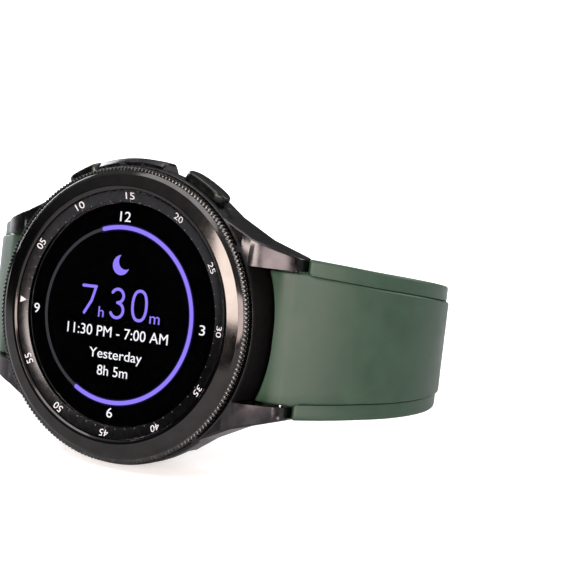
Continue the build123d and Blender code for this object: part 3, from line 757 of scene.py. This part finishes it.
def curved_end_faces():
    """Narrow faces over a panel's first section, so that the end follows the case's curve.

    Point i of a section lies above point (last - i) of the same section. The point at half depth
    on each side is its own partner, so the outermost faces are triangles.
    """
    side_points = 7          # of a section, between its outer and its inner row
    count = 2 * (PANEL_ACROSS + 1 + side_points)
    last = 2 * PANEL_ACROSS + side_points + 1
    reach = (side_points + 1) // 2
    faces = []
    for i in range(-reach, PANEL_ACROSS + reach):
        pair = [(last - i) % count, (last - i - 1) % count, (i + 1) % count, i % count]
        faces.append(tuple(dict.fromkeys(pair)))
    return faces


def panel_skin(sections):
    """Skin over a panel's sections, with the hollow end closed in narrow faces."""
    verts, faces = skin(sections)
    flat_cap = len(faces) - 2
    return verts, faces[:flat_cap] + curved_end_faces() + faces[flat_cap + 1:]


def panel_sections(run, widths, tip_radius, eye_end):
    """Sections of the centre panel from the case to its tip, or to the eye round the buckle pin."""
    shoulder_steps, spacing, tip_steps, tip_gap = 6, 1.3, 9, 0.4
    rear_heading = 1.2       # radians; beyond it the strap is far from the lugs
    sections = hollow_end_sections()
    end_at = run_length(run)
    stops = [-SHOULDER_REACH + 2 * SHOULDER_REACH * k / shoulder_steps for k in range(shoulder_steps + 1)]
    body_end = end_at - tip_radius - tip_gap
    count = int((body_end - SHOULDER_REACH) / spacing)
    stops += [SHOULDER_REACH + (body_end - SHOULDER_REACH) * (k + 1) / count for k in range(count)]
    if tip_radius:
        quarter = [math.pi / 2 * k / tip_steps for k in range(tip_steps + 1)]
        stops += [end_at - tip_radius * (1 - math.sin(turn)) for turn in quarter]
    for stop in stops:
        x, z, heading, thickness = panel_station(run, stop)
        past_lugs = x > STRIP_START_X or heading > rear_heading
        half = panel_half(widths, z, past_lugs, end_at - stop, tip_radius)
        squeeze = end_round(end_at - stop, 0.5) * 0.7 if tip_radius else 0.0
        section = panel_section(half, thickness - 2 * squeeze)
        sections.append(place_section(section, x, z, heading, squeeze))
    if eye_end:
        sections += eye_sections(run, widths)
    return sections


def eye_sections(run, widths):
    """Sections that round the end of the strap off about the middle of the buckle pin."""
    x, z, heading = walk(run, run_length(run))
    half = groove_y(half_width(widths, z))
    sections = []
    for step in range(1, 9):
        turn = math.radians(10 * step)
        past = STRAP_T / 2 * math.sin(turn)
        squeeze = STRAP_T / 2 * (1 - math.cos(turn))
        section = panel_section(half, STRAP_T - 2 * squeeze, 0.1)
        ahead = (x + past * math.cos(heading), z - past * math.sin(heading))
        sections.append(place_section(section, *ahead, heading, squeeze))
    return sections


def place_section(section, x, z, heading, drop=0.0):
    """A (y, depth) section stood up square to the strap, lowered by a drop."""
    out_x, out_z = math.sin(heading), math.cos(heading)
    return [(x - (d + drop) * out_x, y, z - (d + drop) * out_z) for y, d in section]


def strip_sections(run, widths, side, start_at, tip_radius):
    """Sections of one recessed side strip, from its rounded start past the lug to the strap's end."""
    end_at = run_length(run)
    if tip_radius:
        end_at -= tip_radius - math.sqrt(tip_radius ** 2 - (tip_radius - STRIP_W + 0.3) ** 2)
    sections = []
    spacing, lead, even_from = 0.9, (0.0, 0.06, 0.16, 0.3, 0.5, 0.8), 1.0
    count = int((end_at - start_at) / spacing)
    stops = [start_at + s for s in lead]
    stops += [start_at + even_from + (end_at - start_at - even_from) * k / count for k in range(count + 1)]
    for stop in stops:
        x, z, heading = walk(run, stop)
        full = half_width(widths, z)
        inner = groove_y(full) + GROOVE_W
        squeeze = end_round(stop - start_at, 0.4) * 0.9
        outer = full - max(squeeze, end_round(run_length(run) - stop, tip_radius))
        section = strip_outline(inner, outer, STRAP_T - STRIP_DROP, squeeze)
        placed = place_section(section, x, z, heading, STRIP_DROP)
        sections.append([(px, side * py, pz) for px, py, pz in placed])
    return sections


def strip_outline(inner, outer, thickness, squeeze):
    """Cross-section (y, depth) of a strip; its foot reaches under the groove into the panel."""
    edge = min(0.45, (outer - inner) / 2)
    near, far = NEAR * edge, FAR * edge
    low, high = squeeze, thickness - squeeze
    foot, sole = inner - GROOVE_W - 0.2, high - 1.0
    flat = inner + 0.06
    points = [(inner, low + 0.05), (flat, low)]
    points += [(flat + (outer - edge - flat) * k / 4, low) for k in range(1, 5)]
    points += [(outer - far, low + near), (outer - near, low + far), (outer, low + edge)]
    points += [(outer, high - edge), (outer - near, high - far), (outer - far, high - near)]
    points += [(outer - edge, high - 0.03), (foot, high - 0.05), (foot, sole), (inner, sole)]
    return points


def distance_at_x(run, x_wanted):
    """First distance along a run where the outer surface passes an x."""
    distance, step = 0.0, 0.02
    while walk(run, distance)[0] < x_wanted:
        distance += step
    return distance


def solid_cutter(sections, mirrored):
    """A helper object for a cut; cut_from() removes it again."""
    verts, faces = joined_skins([skin(sections)], mirrored)
    mesh = bpy.data.meshes.new("cutter")
    mesh.from_pydata([WATCH @ Vector(v) for v in verts], [], faces)
    turn_outward(mesh)
    return add_object("cutter", mesh)


def strap_cutter(run, distance, outline, below, above, mirrored=False):
    """Cutter through the strap, from an outline in its surface."""
    x, z, heading = walk(run, distance)
    along = (math.cos(heading), -math.sin(heading))
    out = (math.sin(heading), math.cos(heading))
    sections = []
    for depth in (-below, above):
        sections.append([(x + a * along[0] + depth * out[0], y, z + a * along[1] + depth * out[1])
                         for a, y in outline])
    return solid_cutter(sections, mirrored)


def stadium(length, radius):
    """Outline of a slot with round ends."""
    reach = length / 2 - radius
    points = arc_points(radius, -90, 90, 8, (reach, 0))
    return points + arc_points(radius, 90, 270, 8, (-reach, 0))


def cut_from(obj, cutters):
    """Cuts closed helper objects out of a piece's mesh one by one, and removes the helpers."""
    for cutter in cutters:
        modifier = obj.modifiers.new("cut", "BOOLEAN")
        modifier.operation = "DIFFERENCE"
        modifier.solver = "EXACT"
        modifier.object = cutter
        evaluated = obj.evaluated_get(bpy.context.evaluated_depsgraph_get())
        obj.data = bpy.data.meshes.new_from_object(evaluated)
        obj.modifiers.clear()
        bpy.data.objects.remove(cutter)
    shade_with_sharp_edges(obj.data, STRAP_SMOOTH)


def rectangle(reach, side):
    """Corners of a rectangle about zero, from half its length and half its width."""
    return [(-reach, -side), (reach, -side), (reach, side), (-reach, side)]


def finger_pocket(mirrored):
    """Cutter for the pocket round the quick release lever, on the wrist side."""
    lever_y, wrist_z = -6.4, -12.0
    outline = [(BAR_X + dx, lever_y + dy) for dx, dy in rectangle(1.3, 2.5)]
    sections = [[(x, y, z) for x, y in outline] for z in (wrist_z, BAR_Z - 0.4)]
    return solid_cutter(sections, mirrored)


def build_strap(name, run, widths, mirrored, cutters, tip_radius):
    """Centre panel with its cuts, and its two recessed strips; the body and the node share a name."""
    verts, faces = joined_skins([panel_skin(panel_sections(run, widths, tip_radius, mirrored))], mirrored)
    panel = add_piece(name + "_panel", verts, faces, SILICONE, name, smooth=STRAP_SMOOTH)
    cut_from(panel, cutters)
    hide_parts(name)
    start_at = distance_at_x(run, STRIP_START_X)
    sides = [skin(strip_sections(run, widths, side, start_at, tip_radius)) for side in (1, -1)]
    verts, faces = joined_skins(sides, mirrored)
    strips = add_piece(name + "_strips", verts, faces, SILICONE, name, smooth=STRAP_SMOOTH)


def build_straps():
    """The long half with its holes, and the short half with the slot for the buckle's tang."""
    first_hole = run_length(LONG_RUN) - HOLE_END
    hole = stadium(HOLE_LENGTH, HOLE_R)
    holes = [strap_cutter(LONG_RUN, first_hole - HOLE_PITCH * k, hole, below=4, above=2)
             for k in range(HOLE_COUNT)]
    build_strap("long_strap", LONG_RUN, LONG_WIDTHS, False, holes + [finger_pocket(False)], TIP_RADIUS)
    slot = strap_cutter(SHORT_RUN, run_length(SHORT_RUN), rectangle(4.5, 1.35), below=6, above=4,
                        mirrored=True)
    build_strap("short_strap", SHORT_RUN, SHORT_WIDTHS, True, [slot, finger_pocket(True)], 0.0)


def band_path(half_across, half_high, radius, steps=8):
    """Closed rounded rectangle of (y, height, normal angle) points."""
    path = []
    for quarter, (side_y, side_h) in enumerate(((1, 1), (-1, 1), (-1, -1), (1, -1))):
        centre = (side_y * (half_across - radius), side_h * (half_high - radius))
        for k in range(steps + 1):
            angle = math.radians(90 * quarter + 90 * k / steps)
            path.append((centre[0] + radius * math.cos(angle), centre[1] + radius * math.sin(angle), angle))
    return path


def build_keeper(node, body, distance, width, half_inside, below, above, wall):
    """Rubber band round the strap, with rounded corners and softened edges."""
    x, z, heading = walk(SHORT_RUN, distance)
    middle = (above - below) / 2
    profile = rounded_outline([(-width / 2, -wall / 2, 0.2), (width / 2, -wall / 2, 0.2),
                               (width / 2, wall / 2, 0.42), (-width / 2, wall / 2, 0.42)], 4)
    sections = []
    for y, height, angle in band_path(half_inside + wall / 2, (above + below + wall) / 2, 1.3):
        section = []
        for along, out in profile:
            across = y + out * math.cos(angle)
            lift = middle + height + out * math.sin(angle)
            section.append((x + along * math.cos(heading) + lift * math.sin(heading), across,
                            z - along * math.sin(heading) + lift * math.cos(heading)))
        sections.append(section)
    verts, faces = skin(sections, closed_loop=True)
    band = add_piece(node + "_band", mirror_points(verts), faces, SILICONE, body, smooth=STRAP_SMOOTH)
    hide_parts(node)


def build_keepers():
    """The keeper that slides, just past the shoulder, and the fixed one beside the buckle."""
    free_at = run_length(SHOULDER_RUN) + 5.0
    build_keeper("free_keeper", "keeper", free_at, 5.0, 9.85, STRAP_T + 0.25, 2.8, 1.1)
    fixed_at = run_length(SHORT_RUN) - 7.5
    build_keeper("fixed_keeper", "short_strap", fixed_at, 3.6, 8.9, STRAP_T - 0.2, 2.8, 0.9)


# ---- Materials of the CAD pieces that stay ----
NODE_MATERIALS = (
    (BLACK_STEEL, "case_body"),
    (COVER_GLASS, "cover_glass"),
    (SCREEN_BLACK, "display_panel"),
    (WHITE_SLIP, "bezel_glide_ring"),
    (BOARD, "main_board sensor_board"),
    (FOIL, "battery"),
    (COPPER, "charging_coil"),
    (LED_LENS, "sensor_leds"),
    (DIODE, "sensor_photodiodes"),
    (BACK_GLASS, "sensor_window"),
    (BACK_GLOSS, "back_cover"),
    (ELECTRODE, "electrode_upper electrode_lower"),
    (BUCKLE_STEEL, "buckle_frame buckle_tang"),
    (RUBBER, "glass_gasket back_gasket home_key_seal back_key_seal"),
    (KEY_STEEL, "home_key_cap back_key_cap long_strap_spring_bar short_strap_spring_bar"),
    (MOULDED, "inner_frame board_chips speaker_module microphone pressure_sensor home_key_switch"
              " back_key_switch ferrite_sheet detent_ring"),
    (PIN_STEEL, "display_shield click_balls click_springs board_shield vibration_motor back_screws"
                " bezel_retaining_ring home_key_stem back_key_stem home_key_clip back_key_clip"
                " long_strap_release_pin short_strap_release_pin buckle_pin"),
)

# Widths of the bevels on the pieces seen from close by, in millimetres
SOFT_EDGES = {"case_body": 0.10, "back_cover": 0.10, "home_key_cap": 0.12, "back_key_cap": 0.12,
              "buckle_frame": 0.30, "buckle_tang": 0.20}


def soften_edges(piece, width):
    """Rounds the sharp edges of a CAD piece a little, then closes the slivers this leaves."""
    weld = piece.modifiers.new("weld", "WELD")
    weld.merge_threshold = 1e-6
    bevel = piece.modifiers.new("bevel", "BEVEL")
    bevel.width = width * MM
    bevel.segments = 2
    bevel.limit_method = "ANGLE"
    bevel.angle_limit = math.radians(35)
    bevel.harden_normals = True
    slivers = piece.modifiers.new("slivers", "WELD")
    slivers.merge_threshold = 2.5e-6


def dress_cad_nodes():
    """Gives the CAD pieces that stay visible their materials and soft edges."""
    for material, names in NODE_MATERIALS:
        for name in names.split():
            mesh = frame["nodes"][name].data
            mesh.materials.clear()
            mesh.materials.append(material)
    for name, width in SOFT_EDGES.items():
        soften_edges(frame["nodes"][name], width)


# ---- Camera, lights and floor ----
def view_axes(azimuth, elevation):
    """Right, up and back vectors of a level view from a direction in degrees."""
    a, e = math.radians(azimuth), math.radians(elevation)
    back = Vector((math.sin(a) * math.cos(e), -math.cos(a) * math.cos(e), math.sin(e)))
    right = Vector((math.cos(a), math.sin(a), 0))
    return right, back.cross(right), back


def view_matrix(place, right, up, back):
    """Matrix of a camera or lamp at a place, looking against its back vector."""
    return Matrix.Translation(place) @ Matrix((right, up, back)).transposed().to_4x4()


def build_camera():
    right, up, back = view_axes(CAMERA_AZIMUTH, CAMERA_ELEVATION)
    roll = Matrix.Rotation(math.radians(CAMERA_ROLL), 3, back)
    right, up = roll @ right, roll @ up
    data = bpy.data.cameras.new("camera")
    data.lens = CAMERA_LENS
    data.clip_start = 0.01
    camera = add_object("camera", data)
    offset = (back * CAMERA_DISTANCE + right * CAMERA_SHIFT_RIGHT + up * CAMERA_SHIFT_UP) * MM
    camera.matrix_world = view_matrix(WATCH.translation + offset, right, up, back)
    bpy.context.scene.camera = camera


def softbox(name, azimuth, elevation, distance, size, power, colour=(1, 1, 1)):
    """Rectangular lamp aimed at the watch, in degrees, metres and watts; azimuth 0 is in front."""
    right, up, back = view_axes(azimuth, elevation)
    data = bpy.data.lights.new(name, "AREA")
    data.shape = "RECTANGLE"
    data.size, data.size_y = size
    data.energy = power
    data.color = colour
    lamp = add_object(name, data)
    lamp.matrix_world = view_matrix(WATCH.translation + back * distance, right, up, back)


def build_lights():
    softbox("front_strip", -3, 21, 0.9, (0.20, 0.36), 5.4, (1.0, 0.87, 0.78))
    softbox("camera_side", 37, 13, 0.9, (0.84, 0.32), 10.2, (1.0, 0.84, 0.80))
    softbox("overhead", -20, 75, 1.0, (0.9, 0.7), 9.0)
    softbox("left_rim", -110, 20, 0.8, (0.3, 0.5), 5.0, (0.95, 0.97, 1.0))
    softbox("back_wall", 135, 28, 1.0, (0.6, 0.5), 5.0)


def split_by_ray(tree, for_camera, for_others, target):
    """Shows one shader to the camera and another one to every other ray."""
    paths = tree.nodes.new("ShaderNodeLightPath")
    mix = tree.nodes.new("ShaderNodeMixShader")
    tree.links.new(paths.outputs["Is Camera Ray"], mix.inputs["Fac"])
    tree.links.new(for_others, mix.inputs[1])
    tree.links.new(for_camera, mix.inputs[2])
    tree.links.new(mix.outputs["Shader"], target.inputs["Surface"])


def build_world():
    """White backdrop for the camera; reflections see a sky that is dim near the horizon."""
    world = bpy.data.worlds.new("studio")
    bpy.context.scene.world = world
    world.use_nodes = True
    tree = world.node_tree
    sky = tree.nodes["Background"]
    coords = tree.nodes.new("ShaderNodeTexCoord")
    split = tree.nodes.new("ShaderNodeSeparateXYZ")
    tree.links.new(coords.outputs["Generated"], split.inputs["Vector"])
    ramp = ramp_node(tree, split.outputs["Z"], 0.05, 0.75, 0.2, 0.9)
    tree.links.new(ramp.outputs["Color"], sky.inputs["Color"])
    backdrop = tree.nodes.new("ShaderNodeBackground")
    backdrop.inputs["Color"].default_value = (1.0, 1.0, 1.0, 1)
    output = tree.nodes["World Output"]
    split_by_ray(tree, backdrop.outputs["Background"], sky.outputs["Background"], output)


def floor_material():
    """White card with a painted glow that rises away from the watch to pure white; every ray but the
    camera's sees a dimmer grey card, so the watch mirrors it as a mid grey.
    """
    mat = surface("floor_card", (0.80, 0.80, 0.80), (0.82, 0.82, 0.82), (0.6, 0.7), scale=20, specular=0.1)
    tree = mat.node_tree
    bsdf = tree.nodes["Principled BSDF"]
    bsdf.inputs["Emission Color"].default_value = (1, 1, 1, 1)
    coords = tree.nodes.new("ShaderNodeTexCoord")
    away = tree.nodes.new("ShaderNodeVectorMath")
    away.operation = "LENGTH"
    tree.links.new(coords.outputs["Object"], away.inputs[0])
    # Painted light: the card glows weakly next to the watch and fully far from it
    glow = ramp_node(tree, away.outputs["Value"], 0.42, 1.0, 0.12, 0.55)
    tree.links.new(glow.outputs["Color"], bsdf.inputs["Emission Strength"])
    dim = tree.nodes.new("ShaderNodeBsdfDiffuse")
    dim.inputs["Color"].default_value = (0.50, 0.50, 0.52, 1)
    split_by_ray(tree, bsdf.outputs["BSDF"], dim.outputs["BSDF"], tree.nodes["Material Output"])
    return mat


def build_floor():
    """Card the watch stands on, much wider than the picture."""
    size = 4.0
    mesh = bpy.data.meshes.new("floor")
    corners = [(-size, -size, 0), (size, -size, 0), (size, size, 0), (-size, size, 0)]
    mesh.from_pydata(corners, [], [(0, 1, 2, 3)])
    mesh.materials.append(floor_material())
    floor = add_object("floor", mesh)


# ---- The whole scene ----
bpy.context.scene.view_settings.view_transform = "Standard"
build_camera()
build_lights()
build_world()
build_floor()
dress_cad_nodes()
build_crown()
build_coin_edge()
build_funnel()
build_bezel_numerals()
build_bezel_marks()
build_screen()
build_ring()
build_moon()
build_digits()
build_words()
build_straps()
build_keepers()
build_gap_shade_liners()
